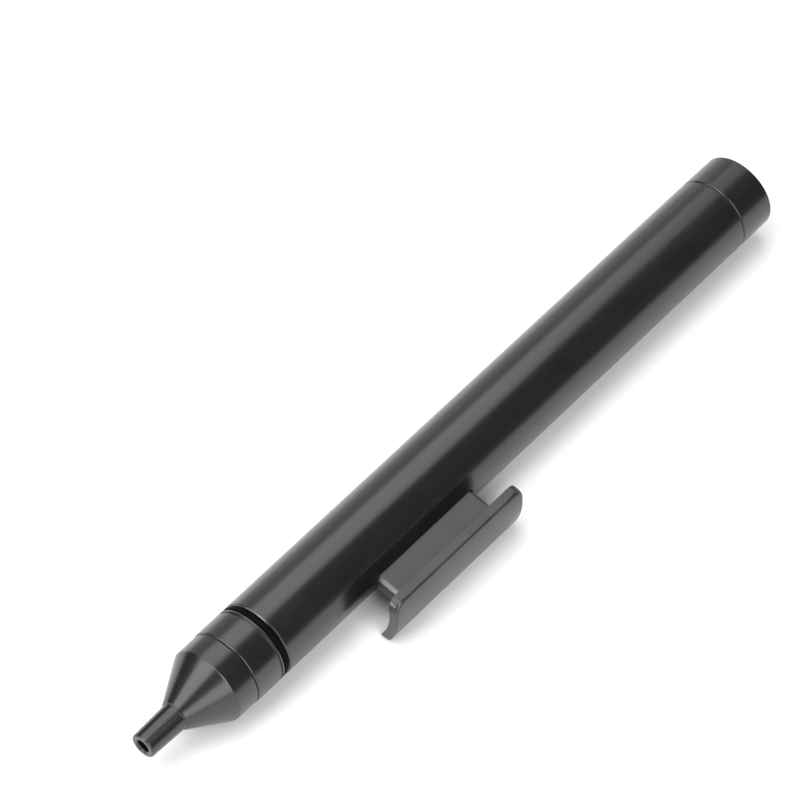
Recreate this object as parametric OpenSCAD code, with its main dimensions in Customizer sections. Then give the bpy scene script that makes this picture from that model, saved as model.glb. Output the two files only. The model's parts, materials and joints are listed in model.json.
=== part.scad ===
// Vacuum pick-up pen, lying on its barrel and the edge of its button.
// Pressing the button squeezes a rubber bulb in the barrel, and letting go draws air in at the tip.
// Every piece is drawn with the pen along X, the tip at X = 0 and the button up, then laid at rest.

/* [Barrel] */
// Outside diameter of the barrel, which the collar and the tail cap share
barrel_d = 12.7; // [12:0.1:15]
// Length of the barrel
barrel_l = 104.3; // [96:0.1:130]
// Wall thickness of the barrel
barrel_wall = 1; // [0.8:0.05:1.2]
// Chamfer on the barrel's two outer end edges
barrel_chamfer = 0.2; // [0.1:0.05:0.4]

/* [Nose cone] */
// Diameter of the tip at its open end
tip_end_d = 4; // [3.6:0.02:4.4]
// Growth of the tip's diameter for each millimetre of its length
tip_taper = 0.06; // [0:0.01:0.1]
// Length of the tip in front of the cone
tip_l = 6.7; // [4:0.1:12]
// Width of the flat step where the tip meets the cone
tip_shoulder = 0.25; // [0.1:0.05:0.5]
// Diameter of the air hole
air_d = 2.1; // [1.6:0.05:2.6]
// Countersink at the mouth of the air hole
mouth_chamfer = 0.2; // [0.1:0.05:0.3]
// Chamfer on the outer edge of the tip's end
tip_chamfer = 0.15; // [0.05:0.05:0.3]
// Length of the cone
cone_l = 6.7; // [5:0.1:12]
// Length of the cylinder behind the cone
nose_rim_l = 3.9; // [2:0.1:8]
// How far the nose cone's cylinder lies inside the collar's surface
nose_step = 0.12; // [0:0.01:0.5]
// Diameter of the nose cone's spigot
nose_spigot_d = 8; // [6:0.1:9]
// Length of the nose cone's spigot
nose_spigot_l = 4.2; // [2.5:0.1:4.4]
// Thickness of the flat gasket at the end of the spigot
gasket_t = 0.8; // [0.5:0.1:1]

/* [Collar and O-ring] */
// Length of the collar that shows between the nose cone and the O-ring
collar_l = 5.5; // [5.4:0.1:9]
// Chamfer on the edges of the collar, the nose cone and the spigots
edge_chamfer = 0.15; // [0.05:0.05:0.3]
// Width of the fine groove near the collar's rear edge
groove_w = 0.3; // [0.2:0.05:0.5]
// Depth of the fine groove
groove_depth = 0.25; // [0.1:0.05:0.4]
// Width of the lip between the groove and the collar's rear edge
groove_lip = 0.45; // [0.35:0.05:0.8]
// How far the O-ring lies below the barrel's surface
o_ring_recess = 0.02; // [0.02:0.02:0.3]
// Length of the collar's spigot inside the barrel
collar_spigot_l = 7; // [4:0.1:9]
// Length of the nipple that the bulb is pushed on
nipple_l = 8; // [6:0.1:9]
// Height of the barb round the nipple
barb_h = 0.35; // [0.2:0.05:0.45]
// Length of the barb along the nipple
barb_l = 2; // [1:0.1:3]
// Length of plain nipple in front of the barb
barb_x = 4; // [2:0.1:4.5]
// Diameter of the air hole through the collar
collar_air_d = 3; // [2:0.1:3.6]

/* [Squeeze bulb] */
// Outside diameter of the bulb
bulb_d = 7.2; // [6.8:0.1:7.6]
// Wall thickness of the bulb
bulb_wall = 0.9; // [0.7:0.05:1]
// Length of the bulb behind the presser shoe
bulb_tail_l = 18; // [8:0.5:26]
// Length of the thick lip at the bulb's mouth
bulb_lip_l = 3; // [2:0.1:4]
// Length of the taper behind the lip
bulb_lip_taper = 1.5; // [0.5:0.1:3]

/* [Button] */
// Distance from the barrel's front end to the middle of the button
button_x = 29.4; // [28:0.1:44]
// Travel of the button
button_travel = 4.8; // [3:0.1:6]
// Room left under the pad when the button is fully pressed
pad_room = 0.45; // [0.3:0.05:1]
// Length of the finger pad
pad_l = 28.2; // [24:0.1:40]
// Width of the finger pad
pad_w = 9.4; // [8:0.1:11]
// Thickness of the finger pad
pad_t = 1.5; // [1:0.05:2]
// Radius of the pad's corners seen from outside
pad_corner = 1.5; // [1:0.1:3]
// Rounding of the pad's long outer edges
pad_edge = 0.5; // [0.2:0.05:0.7]
// Length of the stem along the barrel
stem_l = 21.1; // [16:0.1:23]
// Thickness of the stem
stem_t = 3.4; // [2.4:0.1:3.8]
// Radius of the stem's corners
stem_corner = 1; // [0.5:0.05:1.1]
// Diameter of the two pegs under the stem
peg_d = 1.6; // [1:0.1:2]
// Distance between the pegs
peg_span = 12; // [8:0.5:13]

/* [Presser shoe] */
// Width of the shoe
shoe_w = 7; // [5.5:0.1:8]
// How far the shoe reaches past each end of the stem
shoe_overlap = 2; // [1:0.1:3]
// Radius of the shoe's hollow underside
shoe_hollow_r = 8; // [6:0.1:14]
// Depth of the pocket that takes the foot of the stem
shoe_pocket = 0.6; // [0.4:0.05:0.7]

/* [Tail cap] */
// Length of the tail cap that shows
cap_l = 6.65; // [4:0.05:12]
// Rounding of the tail cap's rear edge
cap_edge = 0.25; // [0.1:0.05:1]
// Length of the tail cap's spigot inside the barrel
cap_spigot_l = 8; // [4:0.1:12]
// Wall thickness of the tail cap's hollow
cap_wall = 1.2; // [0.8:0.1:2]
// Thickness of the tail cap's end
cap_end_t = 2; // [1:0.1:3]

/* [Fits] */
// Radial room between parts that are pushed or screwed together
fit_clear = 0.05; // [0.02:0.01:0.1]
// Room round the stem in the barrel's slot
slot_clear = 0.2; // [0.1:0.05:0.3]
// Room between the shoe and the barrel's bore
shoe_clear = 0.1; // [0.05:0.01:0.2]
// Room between the shoe and the bulb
bulb_clear = 0.1; // [0.05:0.01:0.2]
// Room between the bulb's lip and the barrel's bore
bulb_lip_clear = 0.25; // [0.1:0.05:0.6]

/* [Hidden] */
$fn = 96;
ARC_STEPS = 8;

// Radii across the pen
barrel_r = barrel_d / 2;
bore_r = barrel_r - barrel_wall;
spigot_r = bore_r - fit_clear;
nose_r = barrel_r - nose_step;
tip_end_r = tip_end_d / 2;
tip_base_r = tip_end_r + tip_taper * tip_l / 2;
air_r = air_d / 2;
nose_spigot_r = nose_spigot_d / 2;
socket_r = nose_spigot_r + fit_clear;
o_ring_cord = barrel_wall - o_ring_recess;
o_ring_r = bore_r + o_ring_cord / 2;
bulb_r = bulb_d / 2;
bulb_inner_r = bulb_r - bulb_wall;
nipple_r = bulb_inner_r - fit_clear;
collar_air_r = collar_air_d / 2;
bulb_lip_r = bore_r - bulb_lip_clear;
pad_inner_r = barrel_r + pad_room + button_travel;
pad_outer_r = pad_inner_r + pad_t;
shoe_top_r = bore_r - shoe_clear;
shoe_crown = bulb_r + bulb_clear;
shoe_floor = shoe_top_r - shoe_pocket;

// Stations along the pen
cone_x = tip_l;
rim_x = cone_x + cone_l;
collar_x = rim_x + nose_rim_l;
collar_end_x = collar_x + collar_l;
barrel_x = collar_end_x + o_ring_cord + 2 * fit_clear;
barrel_end_x = barrel_x + barrel_l;
pen_l = barrel_end_x + cap_l;
socket_end_x = collar_x + nose_spigot_l + gasket_t;
bulb_x = barrel_x + collar_spigot_l;
nipple_end_x = bulb_x + nipple_l;
stem_x = barrel_x + button_x;
shoe_l = stem_l + 2 * shoe_overlap;
bulb_end_x = stem_x + shoe_l / 2 + bulb_tail_l;
cap_spigot_x = barrel_end_x - cap_spigot_l;

// Rest: the barrel's underside and the pad's rounded lower edge both touch the ground
edge_r = pad_outer_r - pad_edge;
edge_y = pad_w / 2 - pad_edge;
edge_z = sqrt(edge_r * edge_r - edge_y * edge_y);
rest_roll = asin((barrel_r - pad_edge) / edge_r) - asin(edge_y / edge_r);
axis_y = (pad_outer_r - barrel_r) / 2;

BLACK = "#2b2b2c";
DARK_GREY = "#5a5a5b";
RUBBER = "#1c1c1d";

// Points of an arc about a centre, from one angle to another
function arc(centre, r, from, to) = [
    for (i = [0 : ARC_STEPS])
        let (a = from + (to - from) * i / ARC_STEPS)
            centre + r * [cos(a), sin(a)]
];

// Outline of the nipple from its root to its end as radius and station, grown by a clearance
function nipple_outline(grow) = [
    [nipple_r + grow, bulb_x],
    [nipple_r + grow, bulb_x + barb_x - grow],
    [nipple_r + barb_h + grow, bulb_x + barb_x - grow],
    [nipple_r + grow, bulb_x + barb_x + barb_l],
];

// The same points in the opposite order
function reversed(points) = [for (i = [len(points) - 1 : -1 : 0]) points[i]];

// Lays the pen from its drawing position to its rest on the ground
module at_rest() {
    translate([-pen_l / 2, axis_y, barrel_r])
        rotate([90 + rest_roll, 0, 0])
            children();
}

// Solid of revolution about X from points given as radius and station
module turned(profile) {
    rotate([0, 90, 0])
        rotate_extrude()
            polygon(profile);
}

// Flat rectangle with round corners
module rounded_plate(l, w, r) {
    square([l - 2 * r, w], center = true);
    square([l, w - 2 * r], center = true);
    for (x = [-1, 1], y = [-1, 1])
        translate([x * (l / 2 - r), y * (w / 2 - r)])
            circle(r = r);
}

// Section in the YZ plane drawn out along X, centred on the stem
module along_stem(l) {
    translate([stem_x, 0, 0])
        rotate([90, 0, 90])
            linear_extrude(l, center = true)
                children();
}

// Outline of the stem, grown by a clearance, drawn outwards from a height
module stem_prism(from, to, grow = 0) {
    translate([stem_x, 0, from])
        linear_extrude(to - from)
            rounded_plate(stem_l + 2 * grow, stem_t + 2 * grow, stem_corner + grow);
}

// Both pegs of the button, or the holes for them, between two heights
module pegs(from, to, grow = 0) {
    for (side = [-1, 1])
        translate([stem_x + side * peg_span / 2, 0, from])
            cylinder(r = peg_d / 2 + grow, h = to - from);
}

module nose_cone() {
    spigot_end_x = collar_x + nose_spigot_l;
    color(BLACK)
        at_rest()
            turned([
                [air_r + mouth_chamfer, 0],
                [tip_end_r - tip_chamfer, 0],
                [tip_end_r, tip_chamfer],
                [tip_base_r, cone_x],
                [tip_base_r + tip_shoulder, cone_x],
                [nose_r, rim_x],
                [nose_r, collar_x - edge_chamfer],
                [nose_r - edge_chamfer, collar_x],
                [nose_spigot_r, collar_x],
                [nose_spigot_r, spigot_end_x - edge_chamfer],
                [nose_spigot_r - edge_chamfer, spigot_end_x],
                [air_r, spigot_end_x],
                [air_r, mouth_chamfer],
            ]);
}

module nose_gasket() {
    color(RUBBER)
        at_rest()
            translate([socket_end_x - gasket_t, 0, 0])
                rotate([0, 90, 0])
                    difference() {
                        cylinder(r = nose_spigot_r, h = gasket_t);
                        translate([0, 0, -gasket_t])
                            cylinder(r = collar_air_r, h = 3 * gasket_t);
                    }
}

module nose_collar() {
    groove_x = collar_end_x - groove_lip - groove_w;
    color(BLACK)
        at_rest()
            turned(concat(
                [
                    [socket_r, collar_x],
                    [barrel_r - edge_chamfer, collar_x],
                    [barrel_r, collar_x + edge_chamfer],
                    [barrel_r, groove_x],
                    [barrel_r - groove_depth, groove_x],
                    [barrel_r - groove_depth, groove_x + groove_w],
                    [barrel_r, groove_x + groove_w],
                    [barrel_r, collar_end_x - edge_chamfer],
                    [barrel_r - edge_chamfer, collar_end_x],
                    [spigot_r, collar_end_x],
                    [spigot_r, bulb_x - edge_chamfer],
                    [spigot_r - edge_chamfer, bulb_x],
                ],
                nipple_outline(0),
                [
                    [nipple_r, nipple_end_x - edge_chamfer],
                    [nipple_r - edge_chamfer, nipple_end_x],
                    [collar_air_r, nipple_end_x],
                    [collar_air_r, socket_end_x],
                    [socket_r, socket_end_x],
                ]
            ));
}

module nose_o_ring() {
    color(RUBBER)
        at_rest()
            translate([(collar_end_x + barrel_x) / 2, 0, 0])
                rotate([0, 90, 0])
                    rotate_extrude()
                        translate([o_ring_r, 0])
                            circle(d = o_ring_cord);
}

module barrel() {
    color(BLACK)
        at_rest()
            difference() {
                turned([
                    [bore_r, barrel_x],
                    [barrel_r - barrel_chamfer, barrel_x],
                    [barrel_r, barrel_x + barrel_chamfer],
                    [barrel_r, barrel_end_x - barrel_chamfer],
                    [barrel_r - barrel_chamfer, barrel_end_x],
                    [bore_r, barrel_end_x],
                ]);
                stem_prism(0, 2 * barrel_r, slot_clear);
            }
}

module squeeze_bulb() {
    dome_x = bulb_end_x - bulb_r;
    color(RUBBER)
        at_rest()
            turned(concat(
                [
                    [bulb_lip_r, bulb_x],
                    [bulb_lip_r, bulb_x + bulb_lip_l],
                    [bulb_r, bulb_x + bulb_lip_l + bulb_lip_taper],
                ],
                arc([0, dome_x], bulb_r, 0, 90),
                arc([0, dome_x], bulb_inner_r, 90, 0),
                reversed(nipple_outline(fit_clear))
            ));
}

module presser_shoe() {
    color(DARK_GREY)
        at_rest()
            difference() {
                along_stem(shoe_l)
                    difference() {
                        intersection() {
                            circle(r = shoe_top_r);
                            translate([-shoe_w / 2, 0])
                                square([shoe_w, shoe_top_r]);
                        }
                        translate([0, shoe_crown - shoe_hollow_r])
                            circle(r = shoe_hollow_r);
                    }
                stem_prism(shoe_floor, barrel_r, fit_clear);
                pegs(0, barrel_r, fit_clear);
            }
}

// Region outside the rounding at one long outer edge of the pad's section
module pad_edge_cut() {
    centre = [edge_y, edge_z];
    sideways = [2 * pad_edge, 0];
    outwards = 2 * pad_edge * centre / norm(centre);
    difference() {
        polygon([centre, centre + sideways, centre + sideways + outwards, centre + outwards]);
        translate(centre)
            circle(r = pad_edge);
    }
}

module pad_section() {
    difference() {
        intersection() {
            difference() {
                circle(r = pad_outer_r);
                circle(r = pad_inner_r);
            }
            translate([-pad_w / 2, 0])
                square([pad_w, pad_outer_r]);
        }
        for (side = [0, 1])
            mirror([side, 0])
                pad_edge_cut();
    }
}

module button() {
    color(DARK_GREY)
        at_rest() {
            intersection() {
                along_stem(pad_l)
                    pad_section();
                translate([stem_x, 0, 0])
                    linear_extrude(2 * pad_outer_r)
                        rounded_plate(pad_l, pad_w, pad_corner);
            }
            stem_prism(shoe_floor, pad_inner_r + pad_t / 2);
            pegs(shoe_crown, pad_inner_r);
        }
}

module tail_cap() {
    hollow_r = spigot_r - cap_wall;
    hollow_end_x = pen_l - cap_end_t;
    color(BLACK)
        at_rest()
            turned(concat(
                [
                    [hollow_r, cap_spigot_x],
                    [spigot_r - edge_chamfer, cap_spigot_x],
                    [spigot_r, cap_spigot_x + edge_chamfer],
                    [spigot_r, barrel_end_x],
                    [barrel_r - edge_chamfer, barrel_end_x],
                    [barrel_r, barrel_end_x + edge_chamfer],
                ],
                arc([barrel_r - cap_edge, pen_l - cap_edge], cap_edge, 0, 90),
                [
                    [0, pen_l],
                    [0, hollow_end_x],
                    [hollow_r, hollow_end_x],
                ]
            ));
}

nose_cone();
nose_gasket();
nose_collar();
nose_o_ring();
barrel();
squeeze_bulb();
presser_shoe();
button();
tail_cap();
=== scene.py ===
"""Looks of the vacuum pick-up pen: fine turned and moulded meshes, finishes, soft light and the camera.

The pen lies along X, tip first. Its lengths are in millimetres and turned into metres where a mesh is made;
the lights and the floor are in metres. A turned piece is described by its section: points (station along X,
radius) about the pen's axis.
"""
import json
from math import acos, atan2, ceil, cos, degrees, hypot, pi, radians, sin, sqrt

import bmesh
import bpy
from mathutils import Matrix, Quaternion, Vector


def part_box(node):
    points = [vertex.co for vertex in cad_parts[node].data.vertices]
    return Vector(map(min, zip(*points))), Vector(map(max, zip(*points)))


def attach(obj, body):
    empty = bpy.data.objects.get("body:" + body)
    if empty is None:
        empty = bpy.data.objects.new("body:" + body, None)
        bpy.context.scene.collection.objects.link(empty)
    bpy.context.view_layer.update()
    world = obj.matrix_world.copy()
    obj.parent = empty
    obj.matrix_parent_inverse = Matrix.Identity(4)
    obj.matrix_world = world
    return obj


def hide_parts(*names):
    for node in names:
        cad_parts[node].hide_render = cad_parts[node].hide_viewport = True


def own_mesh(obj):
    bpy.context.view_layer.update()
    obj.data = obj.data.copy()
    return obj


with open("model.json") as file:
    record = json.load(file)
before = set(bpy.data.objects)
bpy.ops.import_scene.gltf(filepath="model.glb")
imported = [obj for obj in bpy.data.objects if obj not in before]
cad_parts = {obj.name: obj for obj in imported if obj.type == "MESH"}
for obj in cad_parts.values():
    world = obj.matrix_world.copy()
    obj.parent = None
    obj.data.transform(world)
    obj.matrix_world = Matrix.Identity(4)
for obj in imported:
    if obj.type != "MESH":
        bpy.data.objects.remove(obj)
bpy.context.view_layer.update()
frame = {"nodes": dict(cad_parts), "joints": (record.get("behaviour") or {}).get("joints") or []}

MM = 0.001
PRESS_JOINT = "button_press"

# Sections read off the CAD nodes: what counts as one point, a straight stretch, a corner, a whole circle
SAME_POINT = 0.008
STRAIGHT_DEG = 2.0
SHARP_DEG = 20.0
WHOLE_CIRCLE_VERTICES = 60

# Fineness of the meshes
TURNED_SIDES = 256
SMALL_ROUND_SIDES = 48
ARC_STEP_DEG = 12.0
LEAST_ARC_STEPS = 2
CORNER_STEPS = 10
ROUNDING_STEPS = 6
PAD_STRIPS = 14
# Edges that turn by more than this stay sharp
SMOOTH_DEG = 35.0

# Roundings of the turned pieces: how far from a corner its arc starts
EDGE_ROUNDING = 0.06
COLLAR_ROUNDING = 0.10
NOSE_ROUNDING = 0.14
RUBBER_ROUNDING = 0.12
CAP_ROUNDING = 0.25
# Most of a stretch that the rounding at one of its ends may take
ROUNDING_SHARE = 0.45

# Finger pad, with the corners of each end given as (low, top)
PAD_THICKNESS = 1.5
PAD_NEAR_CORNERS = (0.5, 1.8)
PAD_FAR_CORNERS = (1.8, 1.3)
PAD_LOW_ROUNDING = 0.5
PAD_TOP_ROUNDING = 0.42
PAD_END_ROUNDING = 0.45
PAD_INNER_ROUNDING = 0.03
# Rounding of the top edge at the pad's ends, and the length over which it fades
PAD_TOP_ROUNDING_AT_ENDS = 1.0
PAD_FADE = 4.0
# Digits kept of the places of the pad's rings, so that no two lie almost together
PAD_DISTANCE_DIGITS = 4

# Stem under the pad, its pegs, and its slot in the barrel
STEM_BEVEL = 0.66
STEM_ROUNDING = 0.145
STEM_FILLET = 0.15
STEM_FOOT_BAND = 0.06
PEG_RADIUS = 0.8
PEG_SPAN = 12.0
PEG_OVERLAP = 1.0
SLOT_CLEARANCE = 0.2
SLOT_CORNER = 1.2

# Noise in the finishes: the part of its range that is used, and how much detail it has
NOISE_MIDDLE = (0.3, 0.7)
NOISE_ROUGHNESS = 0.55
NOISE_DETAIL = 3.0
GRAIN_DETAIL = 2.0
MARKS_DETAIL = 4.0

# Metal finish: ranges of grey and roughness, waves per metre along X, Y and Z, and depths in millimetres
METAL_GREYS = (0.006, 0.010)
METAL_ROUGHNESS = (0.23, 0.25)
METAL_IOR = 1.65
METAL_MOTTLE = (90, 260, 260)
METAL_GRAIN = (9000, 9000, 9000)
METAL_GRAIN_DEPTH = 0.0004
DRAWN_MARKS = (12, 2600, 2600)
TURNED_MARKS = (5200, 40, 40)
MARKS_DEPTH = 0.0001

# Plastic finish
PLASTIC_GREYS = (0.024, 0.040)
PLASTIC_ROUGHNESS = (0.21, 0.29)
PLASTIC_CLOUD = (240, 240, 240)
PLASTIC_GRAIN = (2600, 2600, 2600)
PLASTIC_GRAIN_DEPTH = 0.0005

# Rubber finishes; the seals' greys are black rubber darkened further, as painted shade of the narrow gaps
# the seals sit in
SEAL_GREYS_WITH_GAP_SHADE = (0.001, 0.003)
SEAL_ROUGHNESS = (0.50, 0.60)
BULB_GREYS = (0.020, 0.030)
BULB_ROUGHNESS = (0.55, 0.65)
RUBBER_GLOSS = 0.04
RUBBER_CLOUD = (400, 400, 400)
RUBBER_GRAIN = (7000, 7000, 7000)
RUBBER_GRAIN_DEPTH = 0.004

# Camera, aimed at a place given from the middle of the pen's axis
IMAGE_PX = 800
FOCAL_PX = 4340.2
SENSOR_WIDTH = 36.0
CAMERA_AIM = Vector((2.50, 12.79, 0.0))
CAMERA_DISTANCE = 641.6
CAMERA_YAW_DEG = 40.643
CAMERA_DROP_DEG = 51.792
CAMERA_NEAREST_M = 0.01
CAMERA_FARTHEST_M = 20.0

# Softboxes that face the pen from one distance
SOFTBOX_DISTANCE = 0.6
# Name, compass angle from +X and height angle in degrees, width, height, brightness
SOFTBOXES = (
    ("front", 248, 50, 0.30, 0.34, 5.2),
    ("front_low", 240, 20, 0.52, 0.32, 2.9),
    ("left_card", 150, 20, 0.44, 0.20, 4.0),
    ("left_spot", 168, 27, 0.20, 0.14, 8.5),
    ("backdrop", -8, 27, 0.26, 0.26, 2.2),
    ("backdrop_side", 55, 30, 0.36, 0.24, 0.55),
    ("backdrop_low", 40, 10, 0.72, 0.22, 0.85),
)

# Panels that hang level over the pen
PANEL_HEIGHT = 0.5
# Name, middle along X and Y, size along X and Y, brightness, turn about the vertical in degrees
PANELS = (
    ("over_pen", 0.132, 0.271, 0.50, 0.52, 2.1, -20),
    ("over_tail", 0.496, 0.189, 0.24, 0.42, 0.8, -20),
    ("over_nose", -0.35, 0.205, 0.30, 0.52, 3.3, 0),
    ("overhead", -0.07, 0.02, 0.24, 0.26, 3.6, 0),
)

# Room and floor
ROOM_GREY = 0.09
FLOOR_SIDE = 8.0
FLOOR_GREY = 0.86
FLOOR_ROUGHNESS = 0.9

# Directions along the pen, up, out through the button and across it, and a point on the pen's axis
nodes = frame["nodes"]
press = next(joint for joint in frame["joints"] if joint["name"] == PRESS_JOINT)
ALONG = Vector((1, 0, 0))
UP = Vector((0, 0, 1))
OUTWARD = -Vector(press["axis"]).normalized()
ACROSS = OUTWARD.cross(ALONG)
cap_low, cap_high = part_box("tail_cap")
AXIS = Vector((0, (cap_low.y + cap_high.y) / 2, (cap_low.z + cap_high.z) / 2))


def places(node, direction):
    """Places of a CAD node's vertices along a direction from the pen's axis."""
    return [(v.co - AXIS).dot(direction) / MM for v in nodes[node].data.vertices]


def spread(node, direction):
    """Least and greatest place of a CAD node along a direction from the pen's axis."""
    along = places(node, direction)
    return min(along), max(along)


# Sizes of the button, from its CAD node
stem_x = sum(spread("button", ALONG)) / 2
pad_half_length = spread("button", ALONG)[1] - stem_x
pad_half_width = spread("button", ACROSS)[1]
pad_outer = spread("button", OUTWARD)[1]
pad_inner = pad_outer - PAD_THICKNESS
peg_foot = spread("button", OUTWARD)[0]
stem_foot = min(h for h in places("button", OUTWARD) if h > peg_foot + SAME_POINT)
at_foot = [abs(h - stem_foot) < SAME_POINT for h in places("button", OUTWARD)]
stem_length = 2 * max(x - stem_x for x, low in zip(places("button", ALONG), at_foot) if low)
stem_thickness = 2 * max(y for y, low in zip(places("button", ACROSS), at_foot) if low)


# Sections

def apart(p, q):
    """Distance between two points of a section."""
    return hypot(p[0] - q[0], p[1] - q[1])


def circles_of(node):
    """Section points of a CAD node, the point that each vertex lies on, and how many lie on each."""
    points, member = [], []
    for vertex in nodes[node].data.vertices:
        offset = vertex.co - AXIS
        place = (offset.x / MM, hypot(offset.y, offset.z) / MM)
        found = next((i for i, p in enumerate(points) if apart(p, place) < SAME_POINT), len(points))
        if found == len(points):
            points.append(place)
        member.append(found)
    counts = [member.count(i) for i in range(len(points))]
    return points, member, counts


def turned_section(node):
    """Section of a turned CAD node in order, and whether it is a closed loop clear of the axis."""
    points, member, _ = circles_of(node)
    beside = {i: set() for i in range(len(points))}
    for edge in nodes[node].data.edges:
        a, b = (member[v] for v in edge.vertices)
        if a != b:
            beside[a].add(b)
            beside[b].add(a)
    chain = [min(beside, key=lambda i: len(beside[i]))]
    closed = len(beside[chain[0]]) > 1
    while onward := [i for i in beside[chain[-1]] if i not in chain]:
        chain.append(min(onward, key=lambda i: apart(points[i], points[chain[-1]])))
    section = [points[i] for i in chain]
    if not closed:
        first, last = section[0], section[-1]
        section = [(first[0], 0.0)] + [p for p in section if p[1] > SAME_POINT] + [(last[0], 0.0)]
    return section, closed


def tube_section(node):
    """Section of a straight tube with cuts in its wall: its whole circles, in order round the wall."""
    points, _, counts = circles_of(node)
    whole = [p for p, count in zip(points, counts) if count > WHOLE_CIRCLE_VERTICES]
    middle = [sum(p[k] for p in whole) / len(whole) for k in (0, 1)]
    return sorted(whole, key=lambda p: atan2(p[1] - middle[1], p[0] - middle[0])), True


def cord_section(node):
    """Round section of a ring made of cord."""
    front, rear = spread(node, ALONG)
    radius = (rear - front) / 2
    centre = ((front + rear) / 2, spread(node, UP)[1] - radius)
    return arc(centre, radius, 0, 2 * pi, SMALL_ROUND_SIDES)[:-1], True


def arc(centre, radius, start, end, steps):
    """Points of an arc from one angle to another."""
    turns = [start + (end - start) * i / steps for i in range(steps + 1)]
    return [(centre[0] + radius * cos(a), centre[1] + radius * sin(a)) for a in turns]


def turn_at(before, point, after):
    """Angle in degrees by which an outline turns at a point."""
    a = Vector((point[0] - before[0], point[1] - before[1])).normalized()
    b = Vector((after[0] - point[0], after[1] - point[1])).normalized()
    return degrees(acos(max(-1.0, min(1.0, a.dot(b)))))


def corner_arc(before, point, after, reach):
    """Points of the arc that rounds a corner, from a reach before it to a reach after it."""
    corner = Vector(point)
    back, onward = Vector(before) - corner, Vector(after) - corner
    half = back.angle(onward) / 2
    reach = min(reach, ROUNDING_SHARE * back.length, ROUNDING_SHARE * onward.length)
    back.normalize()
    onward.normalize()
    centre = corner + (back + onward).normalized() * (reach / cos(half))
    first, last = corner + back * reach - centre, corner + onward * reach - centre
    swing = pi - 2 * half
    steps = max(LEAST_ARC_STEPS, ceil(degrees(swing) / ARC_STEP_DEG))
    points = []
    for i in range(steps + 1):
        gone = swing * i / steps
        points.append(tuple(centre + (first * sin(swing - gone) + last * sin(gone)) / sin(swing)))
    return points


def rounded(section, closed, reach):
    """Section with its straight stretches freed of extra points and its sharp corners rounded."""
    def around(points, i):
        return points[i - 1], points[i], points[(i + 1) % len(points)]

    def is_end(points, i):
        return not closed and i in (0, len(points) - 1)

    lean = []
    for i, point in enumerate(section):
        if is_end(section, i) or turn_at(*around(section, i)) > STRAIGHT_DEG:
            lean.append(point)
    result = []
    for i, point in enumerate(lean):
        if is_end(lean, i) or turn_at(*around(lean, i)) < SHARP_DEG:
            result.append(point)
        else:
            result += corner_arc(*around(lean, i), reach)
    return result


# Meshes

def smooth(piece):
    """Smooth shading but for sharp edges, with flat faces ruling the normals."""
    piece.data.shade_smooth()
    piece.data.set_sharp_from_angle(angle=radians(SMOOTH_DEG))
    normals = piece.modifiers.new("flat_faces_rule", "WEIGHTED_NORMAL")
    normals.keep_sharp = True


def add_object(name, bm):
    """New smooth object from a bmesh."""
    bmesh.ops.recalc_face_normals(bm, faces=bm.faces)
    mesh = bpy.data.meshes.new(name)
    bm.to_mesh(mesh)
    bm.free()
    piece = bpy.data.objects.new(name, mesh)
    bpy.context.scene.collection.objects.link(piece)
    smooth(piece)
    return piece


def combine(piece, other, operation):
    """Joins another closed mesh to a piece, or cuts it away."""
    piece.modifiers.clear()
    change = piece.modifiers.new("combine", "BOOLEAN")
    change.operation = operation
    change.solver = "EXACT"
    change.object = other
    seen = piece.evaluated_get(bpy.context.evaluated_depsgraph_get())
    mesh = bpy.data.meshes.new_from_object(seen)
    piece.modifiers.clear()
    piece.data = mesh
    bpy.data.objects.remove(other)
    smooth(piece)


def turned(name, section, closed):
    """Solid of revolution about the pen's axis."""
    bm = bmesh.new()
    rings = []
    for station, radius in section:
        sides = TURNED_SIDES if radius > SAME_POINT else 1
        turns = [2 * pi * i / sides for i in range(sides)]
        ring = [Vector((station, radius * cos(a), radius * sin(a))) * MM + AXIS for a in turns]
        rings.append([bm.verts.new(place) for place in ring])
    for a, b in zip(rings, rings[1:] + rings[:1] if closed else rings[1:]):
        for i in range(TURNED_SIDES):
            corners = [a[i % len(a)], a[(i + 1) % len(a)], b[(i + 1) % len(b)], b[i % len(b)]]
            bm.faces.new(dict.fromkeys(corners))
    return add_object(name, bm)


def loft(name, rings):
    """Piece with a closed skin through rings of as many (along, across, outward) points about the stem."""
    bm = bmesh.new()
    rows = []
    for ring in rings:
        spots = [AXIS + ((x + stem_x) * ALONG + y * ACROSS + h * OUTWARD) * MM for x, y, h in ring]
        rows.append([bm.verts.new(spot) for spot in spots])
    count = len(rows[0])
    for a, b in zip(rows, rows[1:]):
        for i in range(count):
            j = (i + 1) % count
            bm.faces.new((a[i], a[j], b[j], b[i]))
    bm.faces.new(rows[0])
    bm.faces.new(rows[-1])
    return add_object(name, bm)


def level_rings(outline, heights):
    """Rings of one (along, across) outline at several heights."""
    return [[(x, y, h) for x, y in outline] for h in heights]


# Button and slot

def lost(size, distance):
    """Depth that a rounding of a given size takes off at a distance from the end."""
    return size - sqrt(size**2 - (size - distance)**2) if distance < size else 0.0


def pad_side(half, inner, outer, rounding):
    """One side of the pad's section, from the middle of its inner face round its edge to its outer face."""
    low_y, high_y = half - PAD_INNER_ROUNDING, half - rounding
    low = (low_y, sqrt((inner + PAD_INNER_ROUNDING)**2 - low_y**2))
    high = (high_y, sqrt((outer - rounding)**2 - high_y**2))
    lean_low, lean_high = (atan2(h, y) for y, h in (low, high))
    side = arc((0, 0), inner, pi / 2, lean_low, PAD_STRIPS)[:-1]
    side += arc(low, PAD_INNER_ROUNDING, lean_low - pi, 0, ROUNDING_STEPS)
    side += arc(high, rounding, 0, lean_high, ROUNDING_STEPS)
    return side + arc((0, 0), outer, lean_high, pi / 2, PAD_STRIPS)[1:]


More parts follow.
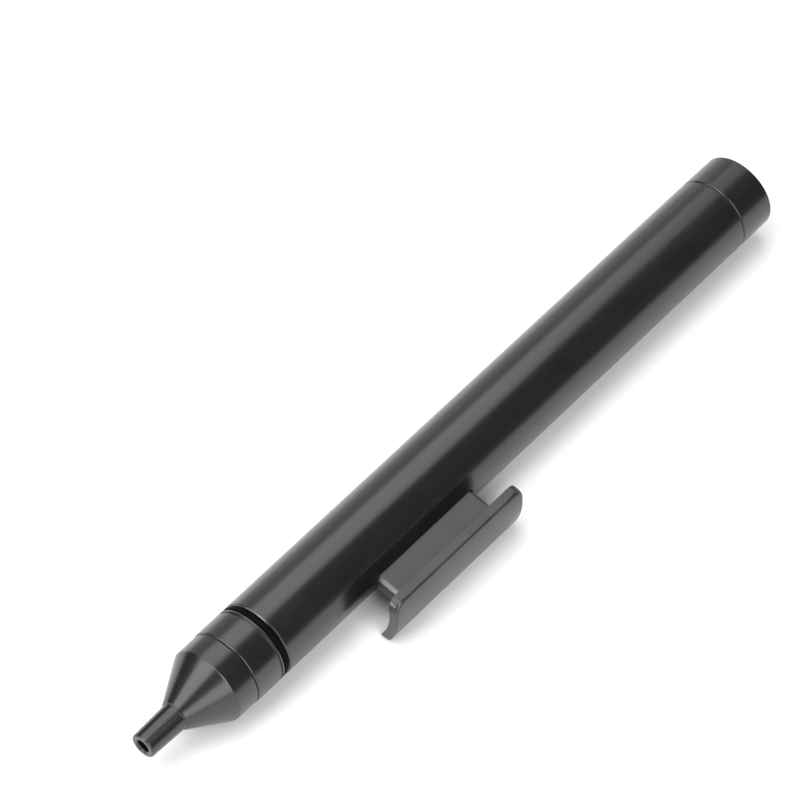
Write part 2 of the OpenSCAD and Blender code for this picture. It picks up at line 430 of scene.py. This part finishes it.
def pad_ring(distance, corners):
    """Section of the pad at a distance from one end, as (across, outward) points."""
    inner = pad_inner + lost(PAD_INNER_ROUNDING, distance)
    outer = pad_outer - lost(PAD_END_ROUNDING, distance)
    fade = max(0.0, 1 - distance / PAD_FADE)**2
    top_rounding = PAD_TOP_ROUNDING + fade * (PAD_TOP_ROUNDING_AT_ENDS - PAD_TOP_ROUNDING)
    half_low, half_top = (pad_half_width - lost(corner, distance) for corner in corners)
    low = pad_side(half_low, inner, outer, PAD_LOW_ROUNDING)
    top = pad_side(half_top, inner, outer, top_rounding)
    return top + [(-y, h) for y, h in low[-2:0:-1]]


def make_pad():
    """Finger pad: a plate curved about the pen's axis, with round corners and edges."""
    roundings = {*PAD_NEAR_CORNERS, *PAD_FAR_CORNERS, PAD_END_ROUNDING, PAD_INNER_ROUNDING}
    turns = [radians(90 * i / ROUNDING_STEPS) for i in range(ROUNDING_STEPS + 1)]
    distances = {round(size * (1 - cos(a)), PAD_DISTANCE_DIGITS) for size in roundings for a in turns}
    distances |= {PAD_FADE * i / ROUNDING_STEPS for i in range(1, ROUNDING_STEPS + 1)}
    near = [(d - pad_half_length, pad_ring(d, PAD_NEAR_CORNERS)) for d in sorted(distances)]
    far = [(pad_half_length - d, pad_ring(d, PAD_FAR_CORNERS)) for d in sorted(distances, reverse=True)]
    return loft("press_button", [[(x, y, h) for y, h in ring] for x, ring in near + far])


def stem_outline(grow):
    """Stem's outline with bevelled corners, grown all round."""
    x, y = stem_length / 2 + grow, stem_thickness / 2 + grow
    corner = ((x, y - STEM_BEVEL), (x - STEM_BEVEL, y))
    upper = [*corner, *((-px, py) for px, py in reversed(corner))]
    return rounded(upper + [(-px, -py) for px, py in upper], True, STEM_ROUNDING)


def make_stem():
    """Stem from its foot to the pad, with a small fillet under the pad.

    The narrow band at the foot keeps the foot's flat face out of the shading of the sides.
    """
    rings = level_rings(stem_outline(0), (stem_foot, stem_foot + STEM_FOOT_BAND))
    for i in range(ROUNDING_STEPS + 1):
        a = radians(90 * i / ROUNDING_STEPS)
        drop = STEM_FILLET * (1 - sin(a))
        outline = stem_outline(STEM_FILLET * (1 - cos(a)))
        rings.append([(x, y, sqrt(pad_inner**2 - y**2) - drop) for x, y in outline])
    rings.append([(x, y, pad_inner + PAD_THICKNESS / 2) for x, y, _ in rings[-1]])
    return loft("stem", rings)


def make_peg(side):
    """Peg under one end of the stem, running a little way up into it."""
    outline = arc((side * PEG_SPAN / 2, 0), PEG_RADIUS, 0, 2 * pi, SMALL_ROUND_SIDES)[:-1]
    return loft("peg", level_rings(outline, (peg_foot, stem_foot + PEG_OVERLAP)))


def make_button():
    """Pad, stem and pegs as one moulded piece."""
    button = make_pad()
    combine(button, make_stem(), "UNION")
    for side in (-1, 1):
        combine(button, make_peg(side), "UNION")
    return button


def make_slot_cutter():
    """Block with round corners that cuts the stem's slot through one side of the barrel."""
    reach_x = stem_length / 2 + SLOT_CLEARANCE - SLOT_CORNER
    reach_y = stem_thickness / 2 + SLOT_CLEARANCE - SLOT_CORNER
    outline = []
    for k, (side_x, side_y) in enumerate(((1, 1), (-1, 1), (-1, -1), (1, -1))):
        centre = (side_x * reach_x, side_y * reach_y)
        outline += arc(centre, SLOT_CORNER, k * pi / 2, (k + 1) * pi / 2, CORNER_STEPS)
    return loft("slot", level_rings(outline, (0, pad_inner)))


# Materials

class Finish:
    """A new material, with short ways to add and link its shader nodes."""

    def __init__(self, name):
        self.material = bpy.data.materials.new(name)
        self.material.use_nodes = True
        self.tree = self.material.node_tree
        self.shader = self.tree.nodes["Principled BSDF"]
        self.place = self.add("ShaderNodeTexCoord").outputs["Object"]

    def add(self, kind, **values):
        """New shader node with values on its input sockets."""
        node = self.tree.nodes.new(kind)
        for socket, value in values.items():
            node.inputs[socket].default_value = value
        return node

    def link(self, output, node, socket):
        self.tree.links.new(output, node.inputs[socket])

    def noise(self, per_metre, detail=NOISE_DETAIL):
        """Noise with its own fineness along each axis, in waves per metre."""
        mapping = self.add("ShaderNodeMapping", Scale=per_metre)
        self.link(self.place, mapping, "Vector")
        noise = self.add("ShaderNodeTexNoise", Scale=1.0, Detail=detail, Roughness=NOISE_ROUGHNESS)
        self.link(mapping.outputs["Vector"], noise, "Vector")
        return noise.outputs["Fac"]

    def colour(self, value, greys):
        """Base colour that runs between two greys."""
        ramp = self.add("ShaderNodeValToRGB")
        for stop, place, grey in zip(ramp.color_ramp.elements, NOISE_MIDDLE, greys):
            stop.position = place
            stop.color = (grey, grey, grey, 1)
        self.link(value, ramp, "Fac")
        self.link(ramp.outputs["Color"], self.shader, "Base Color")

    def roughness(self, value, limits):
        """Roughness that runs between two limits."""
        sockets = ("From Min", "From Max", "To Min", "To Max")
        ranged = self.add("ShaderNodeMapRange", **dict(zip(sockets, (*NOISE_MIDDLE, *limits))))
        self.link(value, ranged, "Value")
        self.link(ranged.outputs["Result"], self.shader, "Roughness")

    def bump(self, *layers):
        """Stacked bumps, each given as a height output and its depth in millimetres."""
        normal = None
        for height, depth in layers:
            bump = self.add("ShaderNodeBump", Strength=1.0, Distance=depth * MM)
            self.link(height, bump, "Height")
            if normal:
                self.link(normal, bump, "Normal")
            normal = bump.outputs["Normal"]
        self.link(normal, self.shader, "Normal")


def anodised(name, marks_per_metre):
    """Satin black anodised aluminium with fine tool marks and a faint mottle."""
    finish = Finish(name)
    marks = finish.noise(marks_per_metre, MARKS_DETAIL)
    grain = finish.noise(METAL_GRAIN, GRAIN_DETAIL)
    finish.colour(finish.noise(METAL_MOTTLE), METAL_GREYS)
    finish.roughness(marks, METAL_ROUGHNESS)
    finish.shader.inputs["IOR"].default_value = METAL_IOR
    finish.bump((marks, MARKS_DEPTH), (grain, METAL_GRAIN_DEPTH))
    return finish.material


def moulded_plastic(name):
    """Satin dark grey plastic with the fine grain of a spark-eroded mould."""
    finish = Finish(name)
    cloud = finish.noise(PLASTIC_CLOUD)
    finish.colour(cloud, PLASTIC_GREYS)
    finish.roughness(cloud, PLASTIC_ROUGHNESS)
    finish.bump((finish.noise(PLASTIC_GRAIN, GRAIN_DETAIL), PLASTIC_GRAIN_DEPTH))
    return finish.material


def rubber(name, greys, roughness):
    """Soft black rubber with a dusty, uneven sheen; for the seals the given greys also hold painted shade
    of their gaps.
    """
    finish = Finish(name)
    cloud = finish.noise(RUBBER_CLOUD)
    finish.colour(cloud, greys)
    finish.roughness(cloud, roughness)
    finish.shader.inputs["Specular IOR Level"].default_value = RUBBER_GLOSS
    finish.bump((finish.noise(RUBBER_GRAIN), RUBBER_GRAIN_DEPTH))
    return finish.material


def plain_floor(name):
    """Even white without gloss."""
    finish = Finish(name)
    finish.shader.inputs["Base Color"].default_value = (FLOOR_GREY, FLOOR_GREY, FLOOR_GREY, 1)
    finish.shader.inputs["Roughness"].default_value = FLOOR_ROUGHNESS
    finish.shader.inputs["Specular IOR Level"].default_value = 0.0
    return finish.material


drawn_metal = anodised("anodised_drawn_tube", DRAWN_MARKS)
turned_metal = anodised("anodised_turned", TURNED_MARKS)
# Seals: black rubber darkened further, as painted shade of the narrow gaps at the nose collar
seal_rubber = rubber("seal_rubber", SEAL_GREYS_WITH_GAP_SHADE, SEAL_ROUGHNESS)
bulb_rubber = rubber("bulb_rubber", BULB_GREYS, BULB_ROUGHNESS)
plastic = moulded_plastic("button_plastic")


# Assembly

def give_material(piece, material):
    piece.data.materials.clear()
    piece.data.materials.append(material)


def put_in_place(piece, node, body, material):
    """Dresses a piece and puts it in the place of a CAD node."""
    give_material(piece, material)
    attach(piece, body)
    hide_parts(node)
    return piece


# Name, function that gives its section, CAD node, rounding, slot, material
TURNED_PIECES = (
    ("nose_cone_body", turned_section, "nose_cone", NOSE_ROUNDING, "black_metal", turned_metal),
    ("nose_gasket_disc", turned_section, "nose_gasket", RUBBER_ROUNDING, "seal_rubber", seal_rubber),
    ("nose_collar_body", turned_section, "nose_collar", COLLAR_ROUNDING, "black_metal", turned_metal),
    ("nose_o_ring_cord", cord_section, "nose_o_ring", RUBBER_ROUNDING, "seal_rubber", seal_rubber),
    ("barrel_tube", tube_section, "barrel", EDGE_ROUNDING, "black_metal", drawn_metal),
    ("bulb", turned_section, "squeeze_bulb", RUBBER_ROUNDING, "bulb_rubber", bulb_rubber),
    ("tail_cap_body", turned_section, "tail_cap", CAP_ROUNDING, "black_metal", turned_metal),
)
pieces = {}
for name, section_of, node, rounding, slot, material in TURNED_PIECES:
    section, closed = section_of(node)
    piece = turned(name, rounded(section, closed, rounding), closed)
    if node == "barrel":
        combine(piece, make_slot_cutter(), "DIFFERENCE")
    pieces[node] = put_in_place(piece, node, "pen", material)

put_in_place(make_button(), "button", "press_button", plastic)
give_material(nodes["presser_shoe"], plastic)

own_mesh(pieces["squeeze_bulb"])


# Stage

def make_floor():
    bm = bmesh.new()
    bmesh.ops.create_grid(bm, x_segments=1, y_segments=1, size=FLOOR_SIDE / 2)
    floor = add_object("floor", bm)
    floor.modifiers.clear()
    give_material(floor, plain_floor("floor_white"))


def make_light(name, place, facing, width, height, brightness, turn_deg=0):
    """Area light whose power is that of an even surface of the given brightness."""
    lamp = bpy.data.lights.new(name, "AREA")
    lamp.shape = "RECTANGLE"
    lamp.size, lamp.size_y = width, height
    lamp.energy = brightness * pi * width * height
    light = bpy.data.objects.new(name, lamp)
    light.location = place
    light.rotation_mode = "QUATERNION"
    light.rotation_quaternion = facing.to_track_quat("-Z", "Y") @ Quaternion(UP, radians(turn_deg))
    light.visible_camera = False
    bpy.context.scene.collection.objects.link(light)


def make_lights():
    for name, compass_deg, rise_deg, *rest in SOFTBOXES:
        compass, rise = radians(compass_deg), radians(rise_deg)
        toward = Vector((cos(rise) * cos(compass), cos(rise) * sin(compass), sin(rise)))
        make_light(name, toward * SOFTBOX_DISTANCE, -toward, *rest)
    for name, x, y, *rest in PANELS:
        make_light(name, (x, y, PANEL_HEIGHT), -UP, *rest)


def make_room():
    world = bpy.data.worlds.new("room")
    world.use_nodes = True
    world.node_tree.nodes["Background"].inputs["Color"].default_value = (ROOM_GREY, ROOM_GREY, ROOM_GREY, 1)
    bpy.context.scene.world = world


def make_camera():
    camera = bpy.data.objects.new("camera", bpy.data.cameras.new("camera"))
    yaw, drop = radians(CAMERA_YAW_DEG), radians(CAMERA_DROP_DEG)
    forward = Vector((cos(drop) * cos(yaw), cos(drop) * sin(yaw), -sin(drop)))
    camera.location = AXIS + (CAMERA_AIM - forward * CAMERA_DISTANCE) * MM
    camera.rotation_mode = "QUATERNION"
    camera.rotation_quaternion = forward.to_track_quat("-Z", "Y")
    camera.data.sensor_width = SENSOR_WIDTH
    camera.data.lens = SENSOR_WIDTH * FOCAL_PX / IMAGE_PX
    camera.data.clip_start = CAMERA_NEAREST_M
    camera.data.clip_end = CAMERA_FARTHEST_M
    bpy.context.scene.collection.objects.link(camera)
    bpy.context.scene.camera = camera


make_floor()
make_room()
make_lights()
make_camera()
bpy.context.scene.view_settings.view_transform = "Standard"
